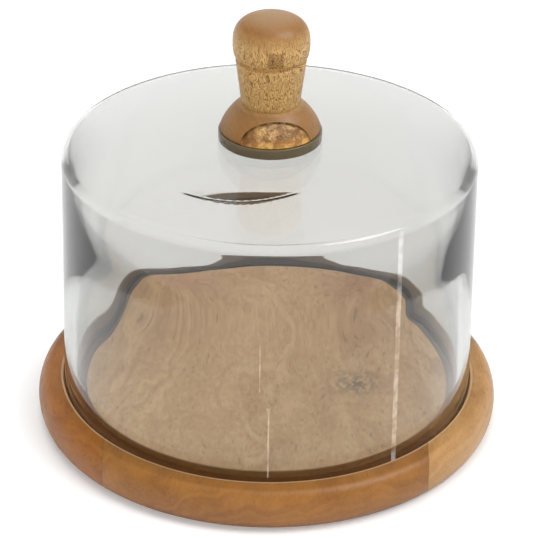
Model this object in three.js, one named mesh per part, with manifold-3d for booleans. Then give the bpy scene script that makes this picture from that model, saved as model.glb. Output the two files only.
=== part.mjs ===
// Cheese dome: a round wooden board with a routed groove, a straight-sided glass dome that
// stands in the groove, and a turned wooden knob bolted through the top of the glass.
// Millimetres, +Z up. The origin is the centre of the board's underside.
// The knob's scoop faces -Y, a little towards +X.

import * as THREE from 'three';
import { mergeVertices } from 'three/addons/utils/BufferGeometryUtils.js';
import Module from 'manifold-3d';

const wasm = await Module();
wasm.setup();

// Driving dimensions of the board
const BOARD_RADIUS = 127.5;
const BOARD_THICKNESS = 23;
const EDGE_NOSE_DEPTH = 7;
const RIM_WIDTH = 14;
const GROOVE_WIDTH = 12.5;
const GROOVE_DEPTH = 4;
const BOARD_ARRIS = 0.8;
const CENTRE_PLANK_SHARE = 0.675;

// Driving dimensions of the glass dome
const GLASS_SIDE_PLAY = 0.6;
const GLASS_WALL = 4;
const GLASS_CROWN_THICKNESS = 4.5;
const GLASS_WALL_HEIGHT = 141;
const GLASS_WALL_LEAN = 1.9;
const GLASS_CROWN_RISE = 5.8;
const GLASS_SHOULDER_RADIUS = 4;
const GLASS_INNER_SHOULDER_RADIUS = 10;
const GLASS_FOOT_ROUND = 1.2;
const GLASS_LAND_MARGIN = 1;

// Driving dimensions of the knob
const KNOB_FOOT_RADIUS = 26.7;
const KNOB_FOOT_HEIGHT = 15.4;
const KNOB_FOOT_EDGE_ROUND = 1;
const KNOB_STEM_BASE_RADIUS = 15.5;
const KNOB_STEM_TOP_RADIUS = 18.7;
const KNOB_STEM_HEIGHT = 24.4;
const KNOB_NECK_GROOVE_DEPTH = 1.5;
const KNOB_NECK_GROOVE_HEIGHT = 2.2;
const KNOB_HEAD_RADIUS = 20.3;
const KNOB_HEAD_LOWER_HEIGHT = 7;
const KNOB_HEAD_CROWN_HEIGHT = 15.2;
const KNOB_SCOOP_WIDTH = 36.8;
const KNOB_SCOOP_HEIGHT = 12.6;
const KNOB_SCOOP_DEPTH = 2.2;
const KNOB_SCOOP_TURN = THREE.MathUtils.degToRad(8);

// How full the curves are: 2 is an ellipse, more is squarer, and 1 is a straight slope
const FOOT_FULLNESS_SHARE = 1.35;
const HEAD_FULLNESS_SHARE = 2.8;

// Driving dimensions of the knob's fastening
const SCREW_SHANK_RADIUS = 3;
const SCREW_LENGTH = 28;
const SCREW_HEAD_RADIUS = 6.2;
const SCREW_HEAD_HEIGHT = 3.6;
const SCREW_SOCKET_RADIUS = 2.3;
const SCREW_SOCKET_DEPTH = 2.2;
const GASKET_THICKNESS = 5.6;
const GASKET_OVERHANG = 0.9;
const GASKET_EDGE_ROUND = 0.6;
const GROMMET_WALL = 2.4;
const GROMMET_FLANGE_RADIUS = 15;
const GROMMET_FLANGE_THICKNESS = 2;
const WASHER_RADIUS = 12.5;
const WASHER_THICKNESS = 1.6;
const INSERT_WALL = 1.8;
const INSERT_LENGTH = 15;
const INSERT_BORE_END_ROOM = 3;

// Named clearances and the one overrun that every cut uses
const SHANK_CLEARANCE = 0.3;
const GROMMET_CLEARANCE = 0.3;
const INSERT_CLEARANCE = 0.15;
const INSERT_SINK = 0.5;
const CUT_OVERRUN = 2;

// How finely the round pieces are faceted
const WIDE_SIDES = 72;
const KNOB_SIDES = 48;
const SMALL_SIDES = 24;
const SOCKET_SIDES = 6;
const NOSE_STEPS = 10;
const EDGE_STEPS = 2;
const GLASS_FOOT_STEPS = 3;
const SHOULDER_STEPS = 5;
const CROWN_STEPS = 5;
const KNOB_FOOT_STEPS = 8;
const HEAD_LOWER_STEPS = 3;
const HEAD_CROWN_STEPS = 12;
const SCOOP_STEPS = 16;
const SCREW_HEAD_STEPS = 4;

// Levels and radii that follow from the sizes above
const rimInnerRadius = BOARD_RADIUS - RIM_WIDTH;
const plateauRadius = rimInnerRadius - GROOVE_WIDTH;
const grooveFloor = BOARD_THICKNESS - GROOVE_DEPTH;
const glassFootRadius = rimInnerRadius - GLASS_SIDE_PLAY;
const glassTopRadius = glassFootRadius - GLASS_WALL_LEAN;
const shoulderTop = grooveFloor + GLASS_WALL_HEIGHT;
const crownTop = shoulderTop + GLASS_CROWN_RISE;
const crownUnderside = crownTop - GLASS_CROWN_THICKNESS;
const gasketRadius = KNOB_FOOT_RADIUS + GASKET_OVERHANG;
const glassLandRadius = gasketRadius + GLASS_LAND_MARGIN;
const shankHoleRadius = SCREW_SHANK_RADIUS + SHANK_CLEARANCE;
const grommetSleeveRadius = shankHoleRadius + GROMMET_WALL;
const glassHoleRadius = grommetSleeveRadius + GROMMET_CLEARANCE;
const flangeUnderside = crownUnderside - GROMMET_FLANGE_THICKNESS;
const washerUnderside = flangeUnderside - WASHER_THICKNESS;
const knobBase = crownTop + GASKET_THICKNESS;
const insertRadius = shankHoleRadius + INSERT_WALL;
const insertBoreRadius = insertRadius + INSERT_CLEARANCE;
const insertBase = knobBase + INSERT_SINK;

// Finishes, as seen on the object
const mangoWood = { color: 0xb98a55, roughness: 0.5, metalness: 0 };
const mangoWoodPale = { color: 0xc59a66, roughness: 0.5, metalness: 0 };
const knobWood = { color: 0xb5854b, roughness: 0.45, metalness: 0 };
const clearGlass = { color: 0xe3e6e4, roughness: 0.03, metalness: 0, transparent: true, opacity: 0.3 };
const smokedRubber = { color: 0x5c4a2e, roughness: 0.35, metalness: 0 };
const paleRubber = { color: 0xd8d8d2, roughness: 0.6, metalness: 0 };
const zincSteel = { color: 0xb4b7ba, roughness: 0.35, metalness: 1 };
const brass = { color: 0xb8933f, roughness: 0.35, metalness: 1 };

// A point of an outline: distance from the axis, then height
const at = (radius, height) => new THREE.Vector2(radius, height);

// Points along part of an ellipse about (centreRadius, centreHeight), end points included
function arc(centreRadius, centreHeight, reachOut, reachUp, fromAngle, toAngle, steps) {
  return Array.from({ length: steps + 1 }, (_, step) => {
    const angle = fromAngle + (toAngle - fromAngle) * (step / steps);
    return at(centreRadius + reachOut * Math.cos(angle), centreHeight + reachUp * Math.sin(angle));
  });
}

// Points of a quarter of a superellipse on the axis, from its widest place up to the axis
function fullQuarter(baseHeight, reachOut, reachUp, fullness, steps) {
  return Array.from({ length: steps + 1 }, (_, step) => {
    const angle = (Math.PI / 2) * (step / steps);
    const outShare = step === steps ? 0 : Math.cos(angle) ** (2 / fullness);
    return at(reachOut * outShare, baseHeight + reachUp * Math.sin(angle) ** (2 / fullness));
  });
}

// A closed body of revolution about Z. The outline runs upwards on its outer side.
function turned(outline, sides) {
  const geometry = new THREE.LatheGeometry(outline, sides).rotateX(Math.PI / 2);
  geometry.deleteAttribute('normal');
  geometry.deleteAttribute('uv');
  return mergeVertices(geometry);
}

// A ring's outline ends where it began
const closed = (outline) => [...outline, outline[0]];

function toSolid(geometry) {
  const bare = geometry.clone();
  bare.deleteAttribute('normal');
  bare.deleteAttribute('uv');
  const merged = mergeVertices(bare);
  return new wasm.Manifold(new wasm.Mesh({
    numProp: 3,
    vertProperties: new Float32Array(merged.attributes.position.array),
    triVerts: new Uint32Array(merged.index.array),
  }));
}

function toGeometry(solid) {
  const { numProp, vertProperties, triVerts } = solid.getMesh();
  const geometry = new THREE.BufferGeometry();
  geometry.setAttribute('position', new THREE.BufferAttribute(vertProperties, numProp));
  geometry.setIndex(new THREE.BufferAttribute(triVerts, 1));
  return geometry;
}

function piece(name, geometry, finish) {
  const mesh = new THREE.Mesh(geometry, new THREE.MeshStandardMaterial(finish));
  mesh.name = name;
  return mesh;
}

// Board: one turned disc with a bullnose edge and a flat-bottomed groove near its rim
function boardOutline() {
  const half = BOARD_THICKNESS / 2;
  const noseCentre = BOARD_RADIUS - EDGE_NOSE_DEPTH;
  return [
    at(0, 0),
    ...arc(noseCentre, half, EDGE_NOSE_DEPTH, half, -Math.PI / 2, Math.PI / 2, NOSE_STEPS),
    ...arc(rimInnerRadius + BOARD_ARRIS, BOARD_THICKNESS - BOARD_ARRIS,
      BOARD_ARRIS, BOARD_ARRIS, Math.PI / 2, Math.PI, EDGE_STEPS),
    at(rimInnerRadius, grooveFloor),
    at(plateauRadius, grooveFloor),
    ...arc(plateauRadius - BOARD_ARRIS, BOARD_THICKNESS - BOARD_ARRIS,
      BOARD_ARRIS, BOARD_ARRIS, 0, Math.PI / 2, EDGE_STEPS),
    at(0, BOARD_THICKNESS),
  ];
}

// The disc is glued up from three planks whose grain runs along Y, so it is cut along two joints
function boardPlanks() {
  const disc = toSolid(turned(boardOutline(), WIDE_SIDES));
  const joint = BOARD_RADIUS * CENTRE_PLANK_SHARE;
  const reach = BOARD_RADIUS + CUT_OVERRUN;
  const plank = (fromX, toX) => {
    const width = toX - fromX;
    const cutter = new THREE.BoxGeometry(width, 2 * reach, 2 * reach);
    cutter.translate(fromX + width / 2, 0, 0);
    return toGeometry(disc.intersect(toSolid(cutter)));
  };
  return [
    piece('board_plank_left', plank(-reach, -joint), mangoWood),
    piece('board_plank_centre', plank(-joint, joint), mangoWood),
    piece('board_plank_right', plank(joint, reach), mangoWoodPale),
  ];
}

// How far the shallow crown has fallen at a distance from the axis: nothing on the flat land under
// the gasket, then ever faster, to the crown's whole rise at the shoulder
function crownDrop(radius) {
  const span = glassTopRadius - GLASS_SHOULDER_RADIUS - glassLandRadius;
  const share = Math.max(0, radius - glassLandRadius) / span;
  return GLASS_CROWN_RISE * share * (share + 1) / 2;
}

// Glass dome: straight wall with a slight lean, tight outer shoulder, softer inner shoulder,
// crown with a hole at its centre, and a rounded foot
function glassDome() {
  const innerFootRadius = glassFootRadius - GLASS_WALL;
  const innerTopRadius = glassTopRadius - GLASS_WALL;
  const shoulderCentre = glassTopRadius - GLASS_SHOULDER_RADIUS;
  const innerShoulderCentre = innerTopRadius - GLASS_INNER_SHOULDER_RADIUS;
  const innerFall = crownDrop(innerShoulderCentre);
  const between = (fromRadius, toRadius, level) => Array.from({ length: CROWN_STEPS - 1 }, (_, step) => {
    const radius = THREE.MathUtils.lerp(fromRadius, toRadius, (step + 1) / CROWN_STEPS);
    return at(radius, level - crownDrop(radius));
  });
  return turned(closed([
    ...arc(glassFootRadius - GLASS_FOOT_ROUND, grooveFloor + GLASS_FOOT_ROUND,
      GLASS_FOOT_ROUND, GLASS_FOOT_ROUND, -Math.PI / 2, 0, GLASS_FOOT_STEPS),
    ...arc(shoulderCentre, shoulderTop - GLASS_SHOULDER_RADIUS,
      GLASS_SHOULDER_RADIUS, GLASS_SHOULDER_RADIUS, 0, Math.PI / 2, SHOULDER_STEPS),
    ...between(shoulderCentre, glassLandRadius, crownTop),
    at(glassLandRadius, crownTop),
    at(glassHoleRadius, crownTop),
    at(glassHoleRadius, crownUnderside),
    at(glassLandRadius, crownUnderside),
    ...between(glassLandRadius, innerShoulderCentre, crownUnderside),
    ...arc(innerShoulderCentre, crownUnderside - innerFall - GLASS_INNER_SHOULDER_RADIUS,
      GLASS_INNER_SHOULDER_RADIUS, GLASS_INNER_SHOULDER_RADIUS, Math.PI / 2, 0, SHOULDER_STEPS),
    ...arc(innerFootRadius + GLASS_FOOT_ROUND, grooveFloor + GLASS_FOOT_ROUND,
      GLASS_FOOT_ROUND, GLASS_FOOT_ROUND, Math.PI, 3 * Math.PI / 2, GLASS_FOOT_STEPS),
  ]), WIDE_SIDES);
}

// Knob: domed foot, stem that widens upwards, a narrow V groove and a rounded head, with a
// blind bore from below for the threaded insert
function knobOutline() {
  const footTop = knobBase + KNOB_FOOT_HEIGHT;
  const stemTop = footTop + KNOB_STEM_HEIGHT;
  const headWidest = stemTop + KNOB_NECK_GROOVE_HEIGHT + KNOB_HEAD_LOWER_HEIGHT;
  const headLower = arc(KNOB_STEM_TOP_RADIUS, headWidest, KNOB_HEAD_RADIUS - KNOB_STEM_TOP_RADIUS,
    KNOB_HEAD_LOWER_HEIGHT, -Math.PI / 2, 0, HEAD_LOWER_STEPS);
  const boreTop = insertBase + INSERT_LENGTH + INSERT_BORE_END_ROOM;
  const neckRadius = KNOB_STEM_TOP_RADIUS - KNOB_NECK_GROOVE_DEPTH;
  return [
    at(0, boreTop),
    at(insertBoreRadius, boreTop),
    at(insertBoreRadius, knobBase),
    ...footCurve(),
    at(KNOB_STEM_TOP_RADIUS, stemTop),
    at(neckRadius, stemTop + KNOB_NECK_GROOVE_HEIGHT / 2),
    ...headLower.slice(0, -1),
    ...fullQuarter(headWidest, KNOB_HEAD_RADIUS, KNOB_HEAD_CROWN_HEIGHT,
      HEAD_FULLNESS_SHARE, HEAD_CROWN_STEPS),
  ];
}

// The foot's side, from its small rounded lower edge up to where the stem starts
function footCurve() {
  const edgeRound = arc(KNOB_FOOT_RADIUS - KNOB_FOOT_EDGE_ROUND, knobBase + KNOB_FOOT_EDGE_ROUND,
    KNOB_FOOT_EDGE_ROUND, KNOB_FOOT_EDGE_ROUND, -Math.PI / 2, 0, EDGE_STEPS);
  const lowest = knobBase + KNOB_FOOT_EDGE_ROUND;
  const side = Array.from({ length: KNOB_FOOT_STEPS }, (_, step) => {
    const riseShare = (step + 1) / KNOB_FOOT_STEPS;
    const fallShare = 1 - (1 - riseShare ** FOOT_FULLNESS_SHARE) ** (1 / FOOT_FULLNESS_SHARE);
    const radius = THREE.MathUtils.lerp(KNOB_FOOT_RADIUS, KNOB_STEM_BASE_RADIUS, fallShare);
    return at(radius, THREE.MathUtils.lerp(lowest, knobBase + KNOB_FOOT_HEIGHT, riseShare));
  });
  return [...edgeRound, ...side];
}

// Scoop in the foot's front: an arch-shaped pocket, deepest under its crown, that runs out
// almost to nothing at the foot's lower edge
function scoopCutter() {
  const arch = new THREE.Shape(
    arc(0, 0, KNOB_SCOOP_WIDTH / 2, KNOB_SCOOP_HEIGHT, 0, Math.PI, SCOOP_STEPS));
  const prism = new THREE.ExtrudeGeometry(arch, {
    depth: KNOB_FOOT_RADIUS + CUT_OVERRUN, bevelEnabled: false,
  });
  prism.rotateX(Math.PI / 2).translate(0, 0, knobBase);
  prism.rotateZ(KNOB_SCOOP_TURN);
  const side = footCurve();
  const lowest = side[0].y;
  const wall = side.map((point) => {
    const depthShare = Math.min(1, (point.y - lowest) / KNOB_SCOOP_HEIGHT);
    return at(point.x - KNOB_SCOOP_DEPTH * depthShare, point.y);
  });
  const outside = KNOB_FOOT_RADIUS + CUT_OVERRUN;
  const ring = turned(closed([
    at(outside, lowest - CUT_OVERRUN),
    at(outside, side.at(-1).y),
    ...wall.reverse(),
    at(wall.at(-1).x, lowest - CUT_OVERRUN),
  ]), KNOB_SIDES);
  return toSolid(prism).intersect(toSolid(ring));
}

function knob() {
  return toGeometry(toSolid(turned(knobOutline(), KNOB_SIDES)).subtract(scoopCutter()));
}

// Smoked ring between the knob's foot and the glass
function knobGasket() {
  const round = GASKET_EDGE_ROUND;
  return turned(closed([
    at(shankHoleRadius, crownTop),
    ...arc(gasketRadius - round, crownTop + round, round, round, -Math.PI / 2, 0, EDGE_STEPS),
    ...arc(gasketRadius - round, knobBase - round, round, round, 0, Math.PI / 2, EDGE_STEPS),
    at(shankHoleRadius, knobBase),
  ]), KNOB_SIDES);
}

// Flanged bush that keeps the screw and the washer off the glass
function grommet() {
  return turned(closed([
    at(shankHoleRadius, flangeUnderside),
    at(GROMMET_FLANGE_RADIUS, flangeUnderside),
    at(GROMMET_FLANGE_RADIUS, crownUnderside),
    at(grommetSleeveRadius, crownUnderside),
    at(grommetSleeveRadius, crownTop - GROMMET_CLEARANCE),
    at(shankHoleRadius, crownTop - GROMMET_CLEARANCE),
  ]), SMALL_SIDES);
}

function plainRing(innerRadius, outerRadius, base, height) {
  return turned(closed([
    at(innerRadius, base),
    at(outerRadius, base),
    at(outerRadius, base + height),
    at(innerRadius, base + height),
  ]), SMALL_SIDES);
}

// Washer that spreads the screw's load over the bush
const washer = () => plainRing(shankHoleRadius, WASHER_RADIUS, washerUnderside, WASHER_THICKNESS);

// Metal thread set in the knob, drawn as a plain sleeve round the screw
const insert = () => plainRing(shankHoleRadius, insertRadius, insertBase, INSERT_LENGTH);

// Screw: domed head under the washer with a hexagon socket, and a plain shank up into the knob
function knobScrew() {
  const headEdge = SCREW_HEAD_HEIGHT / 2;
  const headBottom = washerUnderside - SCREW_HEAD_HEIGHT;
  const blank = turned([
    ...arc(0, washerUnderside - headEdge, SCREW_HEAD_RADIUS, headEdge,
      -Math.PI / 2, 0, SCREW_HEAD_STEPS),
    at(SCREW_HEAD_RADIUS, washerUnderside),
    at(SCREW_SHANK_RADIUS, washerUnderside),
    at(SCREW_SHANK_RADIUS, washerUnderside + SCREW_LENGTH),
    at(0, washerUnderside + SCREW_LENGTH),
  ], SMALL_SIDES);
  const socketHeight = SCREW_SOCKET_DEPTH + CUT_OVERRUN;
  const socket = new THREE.CylinderGeometry(
    SCREW_SOCKET_RADIUS, SCREW_SOCKET_RADIUS, socketHeight, SOCKET_SIDES);
  socket.rotateX(Math.PI / 2).translate(0, 0, headBottom + SCREW_SOCKET_DEPTH - socketHeight / 2);
  return toGeometry(toSolid(blank).subtract(toSolid(socket)));
}

const cheeseDome = new THREE.Group();
cheeseDome.add(
  ...boardPlanks(),
  piece('glass_dome', glassDome(), clearGlass),
  piece('knob_gasket', knobGasket(), smokedRubber),
  piece('turned_knob', knob(), knobWood),
  piece('glass_grommet', grommet(), paleRubber),
  piece('steel_washer', washer(), zincSteel),
  piece('knob_screw', knobScrew(), zincSteel),
  piece('threaded_insert', insert(), brass),
);

export default cheeseDome;
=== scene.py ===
# %% [markdown]
# # A cheese dome of mango wood and blown glass
# A round board glued up from three planks carries a glass dome, and a turned wooden knob is clamped
# through the crown of the glass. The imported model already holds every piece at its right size. This
# lesson dresses it: each piece is made again with finer curves, gets the finish of the real thing,
# and rides on the body of the model that it belongs to.
#
# Lengths are written in millimetres, as a maker would, and turned into Blender's metres once.

import math

import bmesh
import bpy
import numpy as np
from mathutils import Matrix, Vector


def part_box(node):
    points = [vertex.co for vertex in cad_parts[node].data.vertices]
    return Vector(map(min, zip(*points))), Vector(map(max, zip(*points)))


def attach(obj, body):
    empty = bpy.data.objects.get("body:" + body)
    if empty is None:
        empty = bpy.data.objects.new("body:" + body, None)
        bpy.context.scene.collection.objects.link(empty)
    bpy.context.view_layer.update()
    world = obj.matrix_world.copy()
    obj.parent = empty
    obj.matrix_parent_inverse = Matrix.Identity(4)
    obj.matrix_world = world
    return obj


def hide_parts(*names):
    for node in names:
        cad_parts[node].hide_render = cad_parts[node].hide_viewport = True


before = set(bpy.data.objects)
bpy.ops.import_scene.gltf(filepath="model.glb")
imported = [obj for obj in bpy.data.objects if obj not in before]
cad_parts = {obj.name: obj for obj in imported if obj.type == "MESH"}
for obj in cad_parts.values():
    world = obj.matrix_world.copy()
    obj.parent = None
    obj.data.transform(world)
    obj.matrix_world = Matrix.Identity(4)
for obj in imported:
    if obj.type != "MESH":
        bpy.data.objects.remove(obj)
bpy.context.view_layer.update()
MM = 0.001


def put_in_scene(name, data):
    made = bpy.data.objects.new(name, data)
    bpy.context.scene.collection.objects.link(made)
    return made


# %% [markdown]
# ## Sizes
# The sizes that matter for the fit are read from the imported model, so that a piece made here lands on
# what carries it. What a box can't tell, such as how round an edge is, is written down once, here.

# %% Read the sizes
board_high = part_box("board_plank_centre")[1]
glass_low, glass_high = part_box("glass_dome")
knob_low, knob_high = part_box("turned_knob")
gasket_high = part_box("knob_gasket")[1]
grommet_low, grommet_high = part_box("glass_grommet")
washer_low, washer_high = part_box("steel_washer")
screw_low, screw_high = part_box("knob_screw")
insert_low, insert_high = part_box("threaded_insert")

BOARD_RADIUS = board_high.y / MM
BOARD_TOP = board_high.z / MM
PLANK_JOINT = board_high.x / MM
GROOVE_FLOOR = glass_low.z / MM
GLASS_FOOT_RADIUS = glass_high.x / MM
CROWN_TOP = glass_high.z / MM
KNOB_BASE = knob_low.z / MM
print(f"board {2 * BOARD_RADIUS:.1f} mm across, joints at {PLANK_JOINT:.1f} mm, "
      f"crown of the glass at {CROWN_TOP:.1f} mm, knob from {KNOB_BASE:.1f} mm")

# %% [markdown]
# ## Camera
# The photograph was taken from a bit over 1.3 m away and about 32 degrees above the table, with a long
# lens. Its place comes from a fit of the board's and the glass's outlines, and is written as a point,
# a direction and an upright. A long lens keeps the sides of the glass nearly parallel.

# %% Place the camera
CAMERA_DISTANCE = 1.32578
CAMERA_RISE = 0.56721
CAMERA_TURN = (-0.00075, 0.05598, -0.01409)
FOCAL_PIXELS = 2342.09
FRAME_PIXELS = 540


def aimed(rise, distance, turn):
    """Place, forward, right and up of a camera that looks at the origin, then turns a little."""
    place = Vector((0, -distance * math.cos(rise), distance * math.sin(rise)))
    forward = -place.normalized()
    right = Vector((1, 0, 0))
    up = right.cross(forward)
    yaw, pitch, roll = turn
    swing = Matrix.Rotation(yaw, 3, up)
    forward, right = swing @ forward, swing @ right
    swing = Matrix.Rotation(pitch, 3, right)
    forward, up = swing @ forward, swing @ up
    swing = Matrix.Rotation(roll, 3, forward)
    return place, forward, swing @ right, swing @ up


place, forward, right, up = aimed(CAMERA_RISE, CAMERA_DISTANCE, CAMERA_TURN)
lens = bpy.data.cameras.new("studio_camera")
lens.sensor_width = 36
lens.lens = FOCAL_PIXELS / FRAME_PIXELS * lens.sensor_width
lens.clip_start, lens.clip_end = 0.05, 50
camera = put_in_scene("studio_camera", lens)
camera.matrix_world = Matrix((
    (right.x, up.x, -forward.x, place.x),
    (right.y, up.y, -forward.y, place.y),
    (right.z, up.z, -forward.z, place.z),
    (0, 0, 0, 1)))
bpy.context.scene.camera = camera
print(f"camera at {tuple(round(v, 3) for v in place)}, lens {lens.lens:.1f} mm")

# %% [markdown]
# ## Studio
# Clear glass is photographed in front of white, and it only shows by what bends or mirrors something
# darker. So the floor and the surroundings are white, and the lamps are large and soft. What a mirror
# sees overhead and in front is darker, like a real room. The floor takes the object's shadow, and glows
# a little for the camera, more so far away where the lamps don't reach, so that it reads as white.

# %% Helpers for materials


def new_material(name):
    material = bpy.data.materials.new(name)
    material.use_nodes = True
    material.node_tree.nodes.clear()
    return material, material.node_tree


def node(tree, kind, inputs=None, **settings):
    """A new node with its settings and inputs. An input is a value, or a socket to link from."""
    made = tree.nodes.new(kind)
    for key, value in settings.items():
        setattr(made, key, value)
    for key, value in (inputs or {}).items():
        socket = made.inputs[key]
        if isinstance(value, bpy.types.NodeSocket):
            tree.links.new(value, socket)
        else:
            socket.default_value = value
    return made


def maths(tree, operation, first, second=0.0, third=0.0, clamp=False):
    made = node(tree, "ShaderNodeMath", {0: first, 1: second, 2: third}, operation=operation, use_clamp=clamp)
    return made.outputs[0]


def times(tree, first, second):
    return maths(tree, "MULTIPLY", first, second)


def minus(tree, first, second):
    return maths(tree, "SUBTRACT", first, second)


def apart(tree, value, middle):
    """How far a value is from a middle, on either side."""
    return maths(tree, "ABSOLUTE", minus(tree, value, middle))


def remap(tree, value, low, high, to_low=0.0, to_high=1.0, smooth=False):
    made = node(tree, "ShaderNodeMapRange", {
        "Value": value, "From Min": low, "From Max": high, "To Min": to_low, "To Max": to_high},
        interpolation_type="SMOOTHSTEP" if smooth else "LINEAR")
    return made.outputs["Result"]


def eased(tree, value, low, high, to_low=0.0, to_high=1.0):
    """The same as remap, with soft ends."""
    return remap(tree, value, low, high, to_low, to_high, smooth=True)


def blended(tree, share, first, second, how="MIX"):
    made = node(tree, "ShaderNodeMix", {0: share, 6: first, 7: second}, data_type="RGBA", blend_type=how)
    return made.outputs[2]


def add_sockets(tree, way, kinds):
    """Inputs or outputs of a node group: name and kind, and a default where one is given."""
    for name, kind, *default in kinds:
        socket = tree.interface.new_socket(name, in_out=way, socket_type="NodeSocket" + kind)
        if default:
            socket.default_value = default[0]


def on_piece(tree):
    """Place on the piece, in metres: the Object coordinates, which stay with it when it moves."""
    return node(tree, "ShaderNodeTexCoord").outputs["Object"]


def noise(tree, scale, detail):
    made = node(tree, "ShaderNodeTexNoise", {"Vector": on_piece(tree), "Scale": scale, "Detail": detail})
    return made.outputs["Fac"]


def seen_as_background(tree):
    """1 for what the camera sees straight, in a mirror or through glass, and 0 for light on a surface."""
    light = node(tree, "ShaderNodeLightPath")
    straight = maths(tree, "MAXIMUM", light.outputs["Is Glossy Ray"], light.outputs["Is Transmission Ray"])
    not_diffuse = maths(tree, "LESS_THAN", light.outputs["Diffuse Depth"], 0.5)
    return maths(tree, "MAXIMUM", light.outputs["Is Camera Ray"], times(tree, straight, not_diffuse))


# %% World, floor and lamps
world = bpy.data.worlds.new("white_studio")
bpy.context.scene.world = world
world.use_nodes = True
tree = world.node_tree
tree.nodes.clear()
ROOM_LIGHT = 0.3
ROOM_ABOVE = 0.55
direction = node(tree, "ShaderNodeTexCoord").outputs["Generated"]
to_room = node(tree, "ShaderNodeSeparateXYZ", {"Vector": direction})
overhead = eased(tree, to_room.outputs["Z"], 0.15, 0.75)
in_front = eased(tree, to_room.outputs["Y"], 0.1, -0.4)
darker = times(tree, maths(tree, "MAXIMUM", overhead, in_front), 1.0 - ROOM_ABOVE)
only_mirrored = node(tree, "ShaderNodeLightPath").outputs["Is Glossy Ray"]
mirrored = minus(tree, 1.0, times(tree, darker, only_mirrored))
lit = times(tree, minus(tree, 1.0, seen_as_background(tree)), ROOM_LIGHT)
strength = maths(tree, "MULTIPLY_ADD", seen_as_background(tree), mirrored, lit)
sky = node(tree, "ShaderNodeBackground", {"Color": (1, 1, 1, 1), "Strength": strength})
node(tree, "ShaderNodeOutputWorld", {"Surface": sky.outputs[0]})

paper, tree = new_material("white_paper")
shade = blended(tree, noise(tree, 60.0, 3.0), (0.86, 0.86, 0.86, 1), (0.89, 0.89, 0.89, 1))
matt = node(tree, "ShaderNodeBsdfDiffuse", {"Color": shade})
away = node(tree, "ShaderNodeVectorMath", {0: on_piece(tree)}, operation="LENGTH").outputs["Value"]
far_glow = eased(tree, away, 0.9, 2.8, 0.23, 0.85)
glow = node(tree, "ShaderNodeEmission", {
    "Color": (1, 1, 1, 1), "Strength": times(tree, seen_as_background(tree), far_glow)})
both = node(tree, "ShaderNodeAddShader", {0: matt.outputs[0], 1: glow.outputs[0]})
node(tree, "ShaderNodeOutputMaterial", {"Surface": both.outputs[0]})


def stage_card(name, corners, material):
    """A flat sheet of the studio, from its four corners in metres."""
    mesh = bpy.data.meshes.new(name)
    mesh.from_pydata([Vector(c) for c in corners], [], [(0, 1, 2, 3)])
    mesh.materials.append(material)
    put_in_scene(name, mesh)


FLOOR_REACH = 6.0
stage_card("studio_floor", [
    (-FLOOR_REACH, -FLOOR_REACH, 0), (FLOOR_REACH, -FLOOR_REACH, 0),
    (FLOOR_REACH, FLOOR_REACH, 0), (-FLOOR_REACH, FLOOR_REACH, 0)], paper)


def soft_lamp(name, place, target, width, height, power):
    light = bpy.data.lights.new(name, "AREA")
    light.shape = "RECTANGLE"
    light.size, light.size_y = width, height
    light.energy = power
    lamp = put_in_scene(name, light)
    lamp.location = Vector(place)
    lamp.rotation_mode = "QUATERNION"
    lamp.rotation_quaternion = (Vector(target) - Vector(place)).to_track_quat("-Z", "Y")
    lamp.visible_transmission = False
    return lamp


soft_lamp("lamp_key", (1.8, -0.5, 2.9), (0, 0, 0.08), 1.6, 1.6, 50)
soft_lamp("lamp_top", (-0.1, 0.1, 1.9), (0, 0, 0.12), 1.3, 1.3, 20).visible_glossy = False
soft_lamp("lamp_front", (-0.6, -2.3, 0.9), (0, 0, 0.12), 1.2, 1.2, 18).visible_glossy = False

# %% [markdown]
# ## Turning on a lathe
# Board, glass, knob and rings are all bodies of revolution, so one Geometry Nodes tree makes them all.
# It takes an outline drawn as a chain of points, lays a grid over it with one row for each point and
# one column for each step of the turn, and swings every column round the axis. Welding the grid closes
# the seam and the poles. A Screw modifier could do it too, but the tree keeps the count of sides and
# the finish as named inputs.

# %% Build the turning tree


def build_turning_tree():
    tree = bpy.data.node_groups.new("Turned piece", "GeometryNodeTree")
    tree.is_modifier = True
    add_sockets(tree, "INPUT", (
        ("Outline", "Geometry"), ("Sides", "Int"), ("Weld", "Float"), ("Finish", "Material")))
    add_sockets(tree, "OUTPUT", (("Turned", "Geometry"),))
    given = tree.nodes.new("NodeGroupInput").outputs
    size = node(tree, "GeometryNodeAttributeDomainSize", {"Geometry": given["Outline"]})
    points = size.outputs["Point Count"]
    columns = maths(tree, "ADD", given["Sides"], 1)
    grid = node(tree, "GeometryNodeMeshGrid", {"Vertices X": columns, "Vertices Y": points})
    index = tree.nodes.new("GeometryNodeInputIndex").outputs[0]
    row = maths(tree, "FLOORED_MODULO", index, points)
    column = maths(tree, "ROUND", maths(tree, "DIVIDE", minus(tree, index, row), points))
    outline_point = node(tree, "GeometryNodeSampleIndex", {
        "Geometry": given["Outline"], "Value": tree.nodes.new("GeometryNodeInputPosition").outputs[0],
        "Index": row}, data_type="FLOAT_VECTOR")
    angle = maths(tree, "DIVIDE", times(tree, column, math.tau), given["Sides"])
    swung = node(tree, "ShaderNodeVectorRotate", {
        "Vector": outline_point.outputs[0], "Angle": angle}, rotation_type="Z_AXIS")
    placed = node(tree, "GeometryNodeSetPosition", {
        "Geometry": grid.outputs[0], "Position": swung.outputs[0]})
    welded = node(tree, "GeometryNodeMergeByDistance", {
        "Geometry": placed.outputs[0], "Distance": given["Weld"]})
    smooth = node(tree, "GeometryNodeSetShadeSmooth", {"Geometry": welded.outputs[0]})
    real = node(tree, "GeometryNodeRealizeInstances", {"Geometry": smooth.outputs[0]})
    painted = node(tree, "GeometryNodeSetMaterial", {
        "Geometry": real.outputs[0], "Material": given["Finish"]})
    node(tree, "NodeGroupOutput", {"Turned": painted.outputs[0]})
    return tree


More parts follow.
